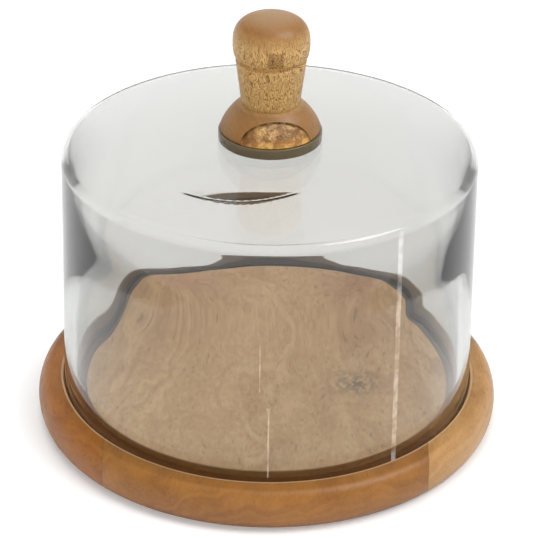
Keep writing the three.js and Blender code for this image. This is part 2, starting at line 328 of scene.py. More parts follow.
turning_tree = build_turning_tree()


def run_tree(name, base, tree, values):
    """Runs a Geometry Nodes tree on a base mesh and returns the result as a plain mesh object."""
    carrier = put_in_scene(name + "_carrier", base)
    modifier = carrier.modifiers.new("tree", "NODES")
    modifier.node_group = tree
    for item in tree.interface.items_tree:
        if item.item_type == "SOCKET" and item.in_out == "INPUT" and item.name in values:
            modifier[item.identifier] = values[item.name]
    evaluated = carrier.evaluated_get(bpy.context.evaluated_depsgraph_get())
    mesh = bpy.data.meshes.new_from_object(evaluated)
    mesh.name = name
    bpy.data.objects.remove(carrier)
    return put_in_scene(name, mesh)


def turn(name, outline, sides, finish, sharp_degrees=35):
    """A turned piece from an outline of (radius, height) in millimetres, drawn up its outer side."""
    base = bpy.data.meshes.new(name + "_outline")
    base.from_pydata([(r * MM, 0, z * MM) for r, z in outline],
                     [(i, i + 1) for i in range(len(outline) - 1)], [])
    made = run_tree(name, base, turning_tree, {"Sides": sides, "Weld": 1e-6, "Finish": finish})
    check_closed(made)
    made.data.set_sharp_from_angle(angle=math.radians(sharp_degrees))
    return made


def check_closed(made):
    """Turns the faces outward if the whole is inside out, and says what was made."""
    work = bmesh.new()
    work.from_mesh(made.data)
    open_edges = sum(1 for edge in work.edges if not edge.is_manifold)
    if work.calc_volume(signed=True) < 0:
        bmesh.ops.reverse_faces(work, faces=work.faces)
        work.to_mesh(made.data)
    volume = abs(work.calc_volume()) * 1e6
    print(f"{made.name}: {len(work.faces)} faces, {volume:.1f} cm3, open edges {open_edges}")
    work.free()


def arc(centre_r, centre_z, reach_r, reach_z, start, end, steps):
    """Points along part of an ellipse, in degrees."""
    return [(centre_r + reach_r * math.cos(math.radians(a)), centre_z + reach_z * math.sin(math.radians(a)))
            for a in np.linspace(start, end, steps + 1)]


def closed(outline):
    return outline + outline[:1]


# %% [markdown]
# ## Mango wood
# Mango is a pale, gold-brown wood. Its growth rings are soft and wander, thin dark veins run through
# it in wavy lines, open pores show as short dashes along the grain, and it is mottled like silk. A
# node group builds it as a solid: the pattern runs through the wood, so a flat top shows long waves
# and a turned knob shows ovals, as a real cut does. The grain runs along Y in the group, and a Mapping
# node turns it for the knob. One group serves every piece, so that all of them are the same timber.

# %% Build the mango wood group


def build_mango_group():
    group = bpy.data.node_groups.new("Mango wood", "ShaderNodeTree")
    add_sockets(group, "INPUT", (
        ("Place", "Vector", (0, 0, 0)),
        ("Pith", "Vector", (0.02, 0, -0.12)),
        ("Knot", "Vector", (9, 9, 9)),
        ("Knot Size", "Float", 0.008),
        ("Seed", "Float", 0.0),
        ("Ring Rate", "Float", 170.0),
        ("Ring Depth", "Float", 0.3),
        ("Vein Rate", "Float", 90.0),
        ("Vein Folds", "Float", 1.0),
        ("Vein Length", "Float", 3.0),
        ("Vein Width", "Float", 0.03),
        ("Vein Depth", "Float", 0.3),
        ("Vein Gaps", "Float", 0.8),
        ("Pore Depth", "Float", 0.5),
        ("Pore Length", "Float", 6.0),
        ("Speckle", "Float", 0.1),
        ("Pale", "Color", (0.5, 0.3, 0.13, 1)),
        ("Deep", "Color", (0.25, 0.12, 0.04, 1)),
        ("Vein Colour", "Color", (0.19, 0.09, 0.028, 1)),
        ("Stain", "Color", (0.1, 0.07, 0.05, 1))))
    add_sockets(group, "OUTPUT", (("Colour", "Color"), ("Roughness", "Float"), ("Height", "Float")))
    given = group.nodes.new("NodeGroupInput").outputs

    def vector(operation, first, second=(0, 0, 0)):
        made = node(group, "ShaderNodeVectorMath", {0: first, 1: second}, operation=operation)
        return made.outputs["Value"] if operation in ("LENGTH", "DISTANCE") else made.outputs["Vector"]

    def grained_noise(place, length, scale, detail=2.0, distortion=0.0, output="Fac"):
        """Noise drawn out along the grain, length times as long as it is wide."""
        share = maths(group, "DIVIDE", 1.0, length)
        stretch = node(group, "ShaderNodeCombineXYZ", {"X": 1.0, "Y": share, "Z": 1.0}).outputs[0]
        return node(group, "ShaderNodeTexNoise", {
            "Vector": vector("MULTIPLY", place, stretch), "W": given["Seed"], "Scale": scale,
            "Detail": detail, "Distortion": distortion}, noise_dimensions="4D").outputs[output]

    # The grain wanders slowly, so every place is shifted a little before the rings are read
    wander = grained_noise(given["Place"], 2.2, 16.0, 3.0, output="Color")
    ripple = grained_noise(given["Place"], 1.6, 70.0, 2.0, output="Color")
    shift = vector("MULTIPLY", vector("SUBTRACT", wander, (0.5, 0.5, 0.5)), (0.055, 0.0, 0.055))
    small_shift = vector("MULTIPLY", vector("SUBTRACT", ripple, (0.5, 0.5, 0.5)), (0.008, 0.0, 0.008))
    placed = vector("ADD", vector("ADD", given["Place"], shift), small_shift)

    # A knot pushes the rings aside and stains the wood at its heart
    to_knot = maths(group, "DIVIDE", vector("DISTANCE", given["Place"], given["Knot"]), given["Knot Size"])
    knot_share = maths(group, "EXPONENT", times(group, maths(group, "POWER", to_knot, 2.0), -0.5))

    # Growth rings: irregular bands by the distance from the pith, which lies along the grain
    flat = vector("MULTIPLY", vector("SUBTRACT", placed, given["Pith"]), (1, 0.04, 1))
    radius = maths(group, "MULTIPLY_ADD", knot_share, 0.02, vector("LENGTH", flat))
    rings = node(group, "ShaderNodeTexNoise", {
        "W": times(group, radius, given["Ring Rate"]), "Scale": 1.0, "Detail": 3.0,
        "Roughness": 0.55}, noise_dimensions="1D").outputs["Fac"]
    ring_share = eased(group, rings, 0.28, 0.72)

    # Veins: thin dark lines where a drawn-out noise crosses a few levels, broken where the wood is quiet
    vein_noise = grained_noise(placed, given["Vein Length"], given["Vein Rate"], 1.2, 0.4)
    level = maths(group, "FRACT", times(group, vein_noise, given["Vein Folds"]))
    off_level = maths(group, "DIVIDE", apart(group, level, 0.5), given["Vein Folds"])
    lively = eased(group, grained_noise(given["Place"], 1.5, 45.0, 2.0), 0.4, 0.62)
    unbroken = minus(group, 1.0, given["Vein Gaps"])
    unbroken_here = maths(group, "MULTIPLY_ADD", lively, given["Vein Gaps"], unbroken)
    line = eased(group, off_level, 0.0, given["Vein Width"], 1.0, 0.0)
    vein_share = times(group, line, times(group, given["Vein Depth"], unbroken_here))

    # Mottling, fibres and pores
    mottle = grained_noise(given["Place"], 1.3, 60.0, 3.0, 0.4)
    patches = grained_noise(given["Place"], 1.8, 22.0, 2.0)
    fibres = grained_noise(placed, 14.0, 1500.0, 2.0)
    pore_noise = grained_noise(placed, given["Pore Length"], 950.0, 1.0, 0.2)
    pores = eased(group, pore_noise, 0.62, 0.7)

    mottling = remap(group, mottle, 0.3, 0.7, -0.12, 0.26)
    tone = maths(group, "MULTIPLY_ADD", ring_share, given["Ring Depth"], mottling)
    tone = maths(group, "ADD", tone, remap(group, patches, 0.3, 0.7, -0.12, 0.34))
    tone = maths(group, "ADD", tone, remap(group, fibres, 0.3, 0.7, -0.15, 0.15), clamp=True)
    grit = grained_noise(given["Place"], 1.8, 420.0, 2.0, 0.3)
    speckle = remap(group, grit, 0.3, 0.7, -1.0, 1.0)
    tone = maths(group, "MULTIPLY_ADD", speckle, given["Speckle"], tone, clamp=True)
    wood = blended(group, tone, given["Pale"], given["Deep"])
    wood = blended(group, vein_share, wood, given["Vein Colour"])
    wood = blended(group, times(group, pores, given["Pore Depth"]), wood, given["Stain"])
    stain_noise = grained_noise(given["Place"], 1.6, 330.0, 3.0, 0.8)
    stain_share = times(group, knot_share, remap(group, stain_noise, 0.42, 0.56, 0.1, 1.0))
    wood = blended(group, times(group, stain_share, 0.7), wood, given["Stain"])

    rough = maths(group, "MULTIPLY_ADD", pores, 0.2, remap(group, mottle, 0.3, 0.7, 0.38, 0.5))
    height = minus(group, times(group, fibres, 0.25), maths(group, "ADD", pores, vein_share))
    node(group, "NodeGroupOutput", {"Colour": wood, "Roughness": rough, "Height": height})
    return group


mango_group = build_mango_group()


def wood_in(tree, turned, values):
    """Places the wood group in a material, with the grain turned, and returns the group's node."""
    here = on_piece(tree)
    laid = node(tree, "ShaderNodeMapping", {"Vector": here, "Rotation": turned}).outputs[0]
    wood = node(tree, "ShaderNodeGroup", node_tree=mango_group)
    tree.links.new(laid, wood.inputs["Place"])
    for key, value in values.items():
        wood.inputs[key].default_value = value
    return wood, node(tree, "ShaderNodeSeparateXYZ", {"Vector": here}).outputs


def finish_wood(tree, colour, roughness, height, depth, coat):
    pushed = node(tree, "ShaderNodeBump", {"Height": height, "Strength": 0.5, "Distance": depth})
    skin = node(tree, "ShaderNodeBsdfPrincipled", {
        "Base Color": colour, "Roughness": roughness, "Normal": pushed.outputs[0],
        "Coat Weight": coat, "Coat Roughness": 0.4})
    node(tree, "ShaderNodeOutputMaterial", {"Surface": skin.outputs[0]})


# %% [markdown]
# The board's tones also follow its shape. The rim has darker tones than the plateau under the glass,
# the groove is darkened as painted shade, and the sharp inner edge of the rim is painted pale along the
# front as a painted highlight. All of this follows the distance from the middle, so one helper adds it to each
# plank.
# Two patches of the plateau are figured: there the veins are strong and the wood is darker.
#
# One thing here isn't how a real board is. Towards the back, the groove and the rim are darkened with
# painted shade, and the outer edge gets a pale painted highlight. The photograph shows the far rim only
# through the glass, as a dark band with a cream line, and these tones were set to match that one view.
# From behind, the edge comes out too pale. A better lesson would leave the wood alike all round, and
# find the band in how the glass bends light.

# %% Board finishes
RIM_WIDTH = 14
GROOVE_WIDTH = 12.5
RIM_INNER = BOARD_RADIUS - RIM_WIDTH
PLATEAU = RIM_INNER - GROOVE_WIDTH
TOP_PALE = (0.88, 0.55, 0.265, 1)
TOP_DEEP = (0.66, 0.37, 0.15, 1)
FIGURED = ((-48, 62, 34, 34), (50, 60, 26, 36))  # x, y, half width and half depth


def board_wood(name, rim, values, joints):
    """One plank's finish. The rim brings its own two tones, the paler plateau has the same ones throughout."""
    material, tree = new_material(name)
    wood, here = wood_in(tree, (0, 0, 0), values)
    across = maths(tree, "POWER", here["X"], 2.0)
    out = maths(tree, "SQRT", maths(tree, "ADD", across, maths(tree, "POWER", here["Y"], 2.0)))
    plateau = eased(tree, out, (PLATEAU - 0.8) * MM, (PLATEAU + 0.4) * MM, 1.0, 0.0)
    tree.links.new(blended(tree, plateau, rim[0], TOP_PALE), wood.inputs["Pale"])
    tree.links.new(blended(tree, plateau, rim[1], TOP_DEEP), wood.inputs["Deep"])
    figured = 0.0
    for x, y, wide, deep in FIGURED:
        off_x, off_y = (
            maths(tree, "POWER", maths(tree, "DIVIDE", minus(tree, here[axis], at * MM), reach * MM), 2.0)
            for axis, at, reach in (("X", x, wide), ("Y", y, deep)))
        patch = maths(tree, "EXPONENT", times(tree, maths(tree, "ADD", off_x, off_y), -1.0))
        figured = maths(tree, "ADD", figured, times(tree, patch, plateau), clamp=True)
    for key, on_rim in (("Ring Depth", 0.28), ("Pore Depth", 0.25), ("Speckle", 0.08)):
        on_top = wood.inputs[key].default_value
        tree.links.new(remap(tree, plateau, 0.0, 1.0, on_rim, on_top), wood.inputs[key])
    tree.links.new(remap(tree, figured, 0.0, 1.0, 0.08, 0.34), wood.inputs["Vein Depth"])
    colour, height = wood.outputs["Colour"], wood.outputs["Height"]
    colour = blended(tree, figured, colour, (0.78, 0.66, 0.6, 1), "MULTIPLY")
    beyond = eased(tree, out, PLATEAU * MM, (PLATEAU + 1) * MM)
    in_groove = times(tree, beyond, eased(tree, out, RIM_INNER * MM, (RIM_INNER - 1) * MM))
    # Painted shade: the groove is darkened.
    colour = blended(tree, times(tree, in_groove, 0.85), colour, (0.42, 0.3, 0.22, 1), "MULTIPLY")
    # Painted shade: towards the back, the groove and the rim turn near black-brown.
    behind = times(tree, eased(tree, here["Y"], 0.015, 0.055, 0.0, 0.92), beyond)
    colour = blended(tree, behind, colour, (0.095, 0.058, 0.034, 1))
    # Painted shade: the groove also darkens from the sides towards the back.
    beside = times(tree, eased(tree, here["Y"], -0.04, 0.03, 0.0, 0.6), in_groove)
    colour = blended(tree, beside, colour, (0.12, 0.085, 0.05, 1))
    # Painted highlight: the rim's inner arris is paler, on the front half only.
    off_arris = apart(tree, out, (RIM_INNER + 0.6) * MM)
    on_top = eased(tree, here["Z"], (BOARD_TOP - 1.2) * MM, (BOARD_TOP - 0.4) * MM)
    in_front = eased(tree, here["Y"], 0.03, 0.0)
    painted_arris_highlight = times(tree, eased(tree, off_arris, 0.0004, 0.0011, 0.55, 0.0), on_top)
    colour = blended(tree, times(tree, painted_arris_highlight, in_front), colour, (0.72, 0.5, 0.3, 1))
    # Painted highlight: the rim's outer edge is pale towards the back.
    painted_back_edge_highlight = times(tree, eased(tree, out, (BOARD_RADIUS - 6.6) * MM, (BOARD_RADIUS - 5.6) * MM),
                      eased(tree, here["Y"], 0.03, 0.06))
    colour = blended(tree, painted_back_edge_highlight, colour, (0.66, 0.52, 0.34, 1))
    # Painted shade: the board is darker in its lowest 8 mm, all round.
    low_painted_shading = eased(tree, here["Z"], 0.0, 0.008, 0.45, 0.0)
    colour = blended(tree, low_painted_shading, colour, (0.62, 0.44, 0.3, 1), "MULTIPLY")
    for x in joints:
        off_joint = apart(tree, here["X"], x)
        seen = remap(tree, plateau, 0.0, 1.0, 0.6, 0.12)
        line = times(tree, eased(tree, off_joint, 0.0001, 0.0005, 1.0, 0.0), seen)
        colour = blended(tree, line, colour, (0.16, 0.08, 0.03, 1))
        height = minus(tree, height, line)
    finish_wood(tree, colour, wood.outputs["Roughness"], height, 0.0001, 0.1)
    return material


joint = PLANK_JOINT * MM
FIGURE = {
    "Vein Colour": (0.2, 0.09, 0.03, 1), "Ring Rate": 260.0, "Ring Depth": 0.55, "Vein Rate": 55.0,
    "Vein Folds": 8.0, "Vein Width": 0.028, "Vein Length": 4.0, "Vein Gaps": 0.9, "Pore Depth": 0.35,
    "Speckle": 0.3}
board_wood_left = board_wood("board_wood_left", [(0.385, 0.13, 0.009, 1), (0.18, 0.05, 0.002, 1)], {
    **FIGURE, "Stain": (0.06, 0.03, 0.01, 1), "Seed": 3.0, "Pith": (-0.03, 0, -0.16)}, (-joint,))
board_wood_centre = board_wood("board_wood_centre", [(0.36, 0.145, 0.022, 1), (0.17, 0.055, 0.006, 1)], {
    **FIGURE, "Stain": (0.09, 0.08, 0.08, 1), "Seed": 7.0, "Pith": (0.035, 0, -0.14),
    "Knot": (0.05, -0.014, 0.022), "Knot Size": 0.0085}, (-joint, joint))
board_wood_right = board_wood("board_wood_right", [(0.54, 0.29, 0.1, 1), (0.32, 0.14, 0.03, 1)], {
    **FIGURE, "Stain": (0.07, 0.035, 0.012, 1), "Seed": 12.0, "Pith": (0.16, 0, -0.1),
    "Knot": (0.1185, 0.036, 0.019), "Knot Size": 0.005}, (joint,))
print("woods:", mango_group.name, "with", len(mango_group.nodes), "nodes")

# %% [markdown]
# ## The board
# The real board is a disc cut from three glued planks, with a bullnose edge and a flat-bottomed groove
# for the glass. It is turned in one go here too, and then sawn along the two joints, so that the edge
# and the groove run on from plank to plank. Each plank has its own piece of wood, and that is what
# makes the joints show.

# %% Turn the board and saw it into planks
NOSE_DEPTH = 7
ARRIS = 0.8
FILLET = 0.5

half = BOARD_TOP / 2
board_outline = [(0, 0)] + [(r, 0) for r in np.linspace(20, BOARD_RADIUS - NOSE_DEPTH - 1, 6)]
board_outline += arc(BOARD_RADIUS - NOSE_DEPTH, half, NOSE_DEPTH, half, -90, 90, 32)
board_outline += arc(RIM_INNER + ARRIS, BOARD_TOP - ARRIS, ARRIS, ARRIS, 90, 180, 6)
board_outline += arc(RIM_INNER - FILLET, GROOVE_FLOOR + FILLET, FILLET, FILLET, 0, -90, 4)
board_outline += arc(PLATEAU + FILLET, GROOVE_FLOOR + FILLET, FILLET, FILLET, -90, -180, 4)
board_outline += arc(PLATEAU - ARRIS, BOARD_TOP - ARRIS, ARRIS, ARRIS, 0, 90, 6)
board_outline += [(r, BOARD_TOP) for r in np.linspace(PLATEAU - 2, 10, 8)] + [(0, BOARD_TOP)]
disc = turn("board_disc", board_outline, 320, board_wood_centre)


def sawn(name, source, finish, cuts):
    """A copy of the disc, kept between the cuts. A cut is (x, side kept)."""
    work = bmesh.new()
    work.from_mesh(source.data)
    for x, side in cuts:
        whole = work.verts[:] + work.edges[:] + work.faces[:]
        result = bmesh.ops.bisect_plane(
            work, geom=whole, dist=1e-7, plane_co=(x, 0, 0), plane_no=(-side, 0, 0), clear_outer=True)
        rim = [item for item in result["geom_cut"] if isinstance(item, bmesh.types.BMEdge)]
        bmesh.ops.contextual_create(work, geom=rim)
    bmesh.ops.triangulate(work, faces=[face for face in work.faces if len(face.verts) > 4])
    mesh = bpy.data.meshes.new(name)
    work.to_mesh(mesh)
    work.free()
    mesh.materials.append(finish)
    plank = put_in_scene(name, mesh)
    check_closed(plank)
    mesh.set_sharp_from_angle(angle=math.radians(35))
    return plank


planks = {
    "board_plank_left": sawn("plank_left", disc, board_wood_left, [(-joint, -1)]),
    "board_plank_centre": sawn("plank_centre", disc, board_wood_centre, [(-joint, 1), (joint, -1)]),
    "board_plank_right": sawn("plank_right", disc, board_wood_right, [(joint, 1)]),
}
bpy.data.objects.remove(disc)
for cad_node, plank in planks.items():
    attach(plank, "board")
    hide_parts(cad_node)

# %% [markdown]
# ## The glass
# The dome is blown into a mould: its outside is true, and its inside is a little uneven, so what is
# seen through it bends. It is turned from one closed outline, both walls in one, because glass needs
# its real thickness to bend light. The glass itself absorbs a little light, which gives the thick
# edges their grey. The wall is also tinted greyer than the crown, as painted shade: both tints are
# matched to the tones of the photograph, and aren't measured from glass. For shadows the glass is a
# plain see-through sheet, since a path tracer hardly finds the light that really comes through.

# %% Glass finish


glass_finish, tree = new_material("blown_glass")
scarred = node(tree, "ShaderNodeAttribute", attribute_name="scar").outputs["Fac"]
smears = noise(tree, 35.0, 2.0)
broken = noise(tree, 160.0, 2.0)
ripples = node(tree, "ShaderNodeBump", {"Height": smears, "Strength": 0.5, "Distance": 0.00002})
# Painted light: the scar glows faintly, though the glass is no lamp.
scar_glow = times(tree, scarred, remap(tree, broken, 0.4, 0.62, 0.02, 0.24))
# Painted shade: the wall is tinted greyer than the crown.
height_here = node(tree, "ShaderNodeSeparateXYZ", {"Vector": on_piece(tree)}).outputs["Z"]
in_crown = eased(tree, height_here, (CROWN_TOP - 12) * MM, (CROWN_TOP - 8) * MM)
grey = blended(tree, in_crown, (0.75, 0.752, 0.742, 1), (0.985, 0.985, 0.975, 1))
clear = node(tree, "ShaderNodeBsdfPrincipled", {
    "Base Color": blended(tree, scarred, grey, (1, 1, 1, 1)), "IOR": 1.5,
    "Transmission Weight": 1.0, "Normal": ripples.outputs[0],
    "Roughness": maths(tree, "MULTIPLY_ADD", scarred, 0.1, remap(tree, smears, 0.55, 0.75, 0.0, 0.012)),
    "Emission Color": (1, 1, 1, 1), "Emission Strength": scar_glow})
see_through = node(tree, "ShaderNodeBsdfTransparent", {"Color": (0.88, 0.885, 0.875, 1)})
surface = node(tree, "ShaderNodeMixShader", {
    0: node(tree, "ShaderNodeLightPath").outputs["Is Shadow Ray"],
    1: clear.outputs[0], 2: see_through.outputs[0]})
absorbed = node(tree, "ShaderNodeVolumeAbsorption", {"Color": (0.55, 0.57, 0.54, 1), "Density": 32.0})
node(tree, "ShaderNodeOutputMaterial", {"Surface": surface.outputs[0], "Volume": absorbed.outputs[0]})

# %% Turn the glass
SIDES = 300
WALL_AT_FOOT = 6.5
WALL_AT_TOP = 1.7
THINNING_HEIGHT = 128
THINNING_SPREAD = 20
CROWN_THICKNESS = 4.5
CROWN_EDGE = 2.1
CROWN_RISE = 5.8
WALL_LEAN = 1.9
SHOULDER = 4
INNER_SHOULDER = 3
FOOT_ROUND = 1.2
LAND = (gasket_high.x / MM) + 1
HOLE = 6
SEAT_GAP = 0.03

top_radius = GLASS_FOOT_RADIUS - WALL_LEAN
shoulder_top = CROWN_TOP - CROWN_RISE
shoulder_height = shoulder_top - SHOULDER
shoulder_centre = top_radius - SHOULDER
crown_under = CROWN_TOP - CROWN_THICKNESS
foot = GROOVE_FLOOR + SEAT_GAP
wall_foot = foot + FOOT_ROUND


def crown_drop(radius):
    share = max(0, radius - LAND) / (shoulder_centre - LAND)
    return CROWN_RISE * share * (share + 1) / 2


def crown_underside(radius):
    share = max(0, radius - LAND) / (shoulder_centre - LAND)
    return CROWN_TOP - crown_drop(radius) - CROWN_THICKNESS + (CROWN_THICKNESS - CROWN_EDGE) * share


def outer_radius(height):
    return GLASS_FOOT_RADIUS - WALL_LEAN * (height - wall_foot) / (shoulder_height - wall_foot)


def wall_thickness(height):
    """Thick near the foot, thin near the shoulder, where the glass was stretched most."""
    here, low, high = ((1 - math.tanh((z - THINNING_HEIGHT) / THINNING_SPREAD)) / 2
                       for z in (height, foot, shoulder_height))
    return WALL_AT_TOP + (WALL_AT_FOOT - WALL_AT_TOP) * (here - high) / (low - high)


inner_foot = GLASS_FOOT_RADIUS - WALL_AT_FOOT
glass_outline = arc(GLASS_FOOT_RADIUS - FOOT_ROUND, wall_foot, FOOT_ROUND, FOOT_ROUND, -90, 0, 6)
glass_outline += [(outer_radius(z), z) for z in np.linspace(wall_foot, shoulder_height, 30)[1:-1]]
glass_outline += arc(shoulder_centre, shoulder_height, SHOULDER, SHOULDER, 0, 90, 16)
glass_outline += [(r, CROWN_TOP - crown_drop(r)) for r in np.linspace(shoulder_centre, LAND, 26)[1:]]
glass_outline += [(HOLE, CROWN_TOP), (HOLE, crown_under)]
inner_centre = top_radius - WALL_AT_TOP - INNER_SHOULDER
inner_height = crown_underside(inner_centre) - INNER_SHOULDER
glass_outline += [(r, crown_underside(r)) for r in np.linspace(LAND, inner_centre, 84)[:-1]]
glass_outline += arc(inner_centre, inner_height, INNER_SHOULDER, INNER_SHOULDER, 90, 0, 16)
glass_outline += [(outer_radius(z) - wall_thickness(z), z)
                  for z in np.linspace(inner_height, wall_foot, 84)[1:-1]]
glass_outline += arc(inner_foot + FOOT_ROUND, wall_foot, FOOT_ROUND, FOOT_ROUND, 180, 270, 6)
dome = turn("glass_bell", closed(glass_outline), SIDES, glass_finish, sharp_degrees=60)

# %% [markdown]
# Blown glass is never even. The swellings below are places where the inside of the wall stands a
# little further in or out: how deep, at which angle from the front, how wide, how high up, how tall.
# Each is a smooth hump that moves the inner surface by up to two millimetres, and it is what makes
# the edge of the board look as if it wandered.

# %% Make the inner wall uneven
SWELLINGS = (
    (-0.4, -43, 7, 95, 33), (0.55, 47, 18, 110, 9), (-1.8, -30, 13, 134, 17), (-1.2, 29, 9, 132, 18),
    (-0.5, 50, 9, 108, 14), (-0.4, 40, 6, 108, 20), (0.5, 130, 20, 90, 30), (-0.5, -150, 25, 110, 25),
    (0.4, 180, 18, 60, 30))


def swell_inner_wall(made):
    points = np.empty(len(made.data.vertices) * 3)
    made.data.vertices.foreach_get("co", points)
    points = points.reshape(-1, 3) / MM
    radius = np.hypot(points[:, 0], points[:, 1])
    height = points[:, 2]
    angle = np.degrees(np.arctan2(points[:, 0], -points[:, 1]))
    inner = (radius < outer_radius(height) - 1.0) & (radius > shoulder_centre - 4)
    near_ends = np.clip((height - wall_foot) / 12, 0, 1) * np.clip((shoulder_height - 2 - height) / 8, 0, 1)
    swelling = np.zeros(len(points))
    for depth, at_angle, half_width, at_height, half_height in SWELLINGS:
        turned = (angle - at_angle + 180) % 360 - 180
        swelling += depth * np.exp(-(turned / half_width) ** 2 - ((height - at_height) / half_height) ** 2)
    inward = swelling * near_ends * inner
    points[:, :2] *= ((radius - inward) / np.maximum(radius, 1e-6))[:, None]
    made.data.vertices.foreach_set("co", (points * MM).ravel())
    made.data.update()
    print(f"inner wall moved by {inward.min():.2f} to {inward.max():.2f} mm "
          f"at {np.count_nonzero(inward)} points")


swell_inner_wall(dome)

# %% [markdown]
# Where the hot glass was pressed into the crown of the mould, a fold has stayed in the underside: a
# sickle, thickest along its near edge and running out to nothing at the far one. It bends the sight
# down to the dark groove, and so it shows in front of the knob as a dark sickle.

# %% Fold in the crown
FOLD_MIDDLE = -15
FOLD_REACH = 31
FOLD_NEAR = -66
FOLD_FAR = -56
FOLD_STEP = 0.9
FOLD_SLOPE_LEFT = 0.225
FOLD_SLOPE_RIGHT = 0.25


def fold_crown(made):
    moved = 0
    for vertex in made.data.vertices:
        x, y, z = vertex.co / MM
        along = (x - FOLD_MIDDLE) / FOLD_REACH
        near = FOLD_FAR + (FOLD_NEAR - FOLD_FAR) * (1 - along ** 2)
        in_sickle = abs(along) < 1 and near - FOLD_STEP < y < FOLD_FAR
        if in_sickle and abs(z - crown_underside(math.hypot(x, y))) < 0.5:
            slope = FOLD_SLOPE_LEFT + (FOLD_SLOPE_RIGHT - FOLD_SLOPE_LEFT) * (1 + along) / 2
            rise = min(1.0, (y - near + FOLD_STEP) / FOLD_STEP)
            vertex.co.z -= slope * (FOLD_FAR - max(y, near)) * rise * MM
            moved += 1
    print("fold laid over", moved, "points of the crown's underside")


fold_crown(dome)

# %% [markdown]
# The halves of the mould leave a seam on the outside of the wall: a narrow strip with a broken skin.
# Light that runs inside the wall leaks out there, which a path tracer hardly finds, so the finish lets
# the scar glow faintly instead. Two shorter marks stand near the middle. Each one is a column of the
# wall's own faces, drawn together to the width of the mark and marked in an attribute, which the glass
# finish reads. A second material won't do here: a ray that goes in through one glass and out through
# another never leaves the first one's absorption.

# %% Lay the mould seam and two marks
MARKS = ((37.0, 1.5, 20, 158), (-2.4, 0.3, 76, 104), (0.6, 0.35, 24, 66))
mark_noise = np.random.default_rng(11)


def lay_mark(made, degrees, half_width, low, high):
    """Narrows the column of outer faces at an angle from the front, and returns the faces of it."""
    step = 2 * math.pi / SIDES
    column = math.floor(math.radians(degrees) / step)
    middle = (column + 0.5) * step
    wander = np.cumsum(mark_noise.normal(0, 0.09, 200))
    for vertex in made.data.vertices:
        x, y, z = vertex.co / MM
        out = math.hypot(x, y)
        off = (math.atan2(x, -y) - middle) / step
        if abs(abs(off) - 0.5) < 0.01 and low - 4 < z < high + 1 and out > outer_radius(z) - 0.5:
            drift = wander[int(z)] - wander[int((low + high) / 2)]
            turned = middle + (math.copysign(half_width, off) + 0.25 * math.tanh(drift)) / out
            vertex.co.x, vertex.co.y = math.sin(turned) * out * MM, -math.cos(turned) * out * MM
    marked = []
    for face in made.data.polygons:
        x, y, z = face.center / MM
        turned = math.atan2(x, -y) - middle
        out = math.hypot(x, y)
        if abs(turned) * out < half_width * 0.7 and low < z < high and out > outer_radius(z) - 0.5:
            marked.append(face.index)
    return marked


marked = [face for mark in MARKS for face in lay_mark(dome, *mark)]
scar = dome.data.attributes.new("scar", "FLOAT", "FACE")
for face in marked:
    scar.data[face].value = 1.0
print("faces in the marks:", len(marked))
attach(dome, "dome")
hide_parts("glass_dome")

# %% [markdown]
# ## The band under the knob
# A ring of smoke-brown silicone keeps the wood off the glass. It is milky: half of the light comes
# back brown from just below the surface, and half goes in. So its transmission is one half, and a
# volume absorbs what goes in, which leaves the edges light and the middle nearly black.

# %% Gasket
gasket_finish, tree = new_material("smoked_silicone")
smoke = node(tree, "ShaderNodeBsdfPrincipled", {
    "Base Color": (0.3, 0.22, 0.11, 1), "Roughness": 0.15, "IOR": 1.45, "Transmission Weight": 0.5})
tint = node(tree, "ShaderNodeVolumeAbsorption", {"Color": (0.5, 0.4, 0.16, 1), "Density": 60.0})
node(tree, "ShaderNodeOutputMaterial", {"Surface": smoke.outputs[0], "Volume": tint.outputs[0]})

SHANK_HOLE = 3.3
BAND_EDGE = 0.6
gasket_radius = gasket_high.x / MM
low, high = CROWN_TOP + SEAT_GAP, KNOB_BASE - SEAT_GAP
gasket_outline = [(SHANK_HOLE, low)]
gasket_outline += arc(gasket_radius - BAND_EDGE, low + BAND_EDGE, BAND_EDGE, BAND_EDGE, -90, 0, 5)
gasket_outline += arc(gasket_radius - BAND_EDGE, high - BAND_EDGE, BAND_EDGE, BAND_EDGE, 0, 90, 5)
gasket_outline += [(SHANK_HOLE, high)]
gasket = turn("smoked_gasket", closed(gasket_outline), 160, gasket_finish)
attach(gasket, "dome")
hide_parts("knob_gasket")

# %% [markdown]
# ## The knob
# The knob is turned from one stick, with the grain up and down: a domed foot, a stem that widens
# upwards, a V groove and a rounded head. A shallow scoop is carved into the front of the foot, and its
# floor is rough end grain, with painted shade at its left end and painted light low down. The scoop is
# cut with a Boolean, so that its edge is crisp, and the cut faces bring their own, rougher finish. The
# stem and the head are figured with short dark veins, the foot is smooth and darker, and the top of
# the head is plain, with a pale painted sheen. A small squarish darker patch is painted on the front
# of the head, not made as a piece.

# %% Knob finish
UPRIGHT_GRAIN = (math.radians(90), 0, 0)
MARK_X, MARK_Z = 0.0025, 0.2185
SCOOP_MIDDLE = 0.004

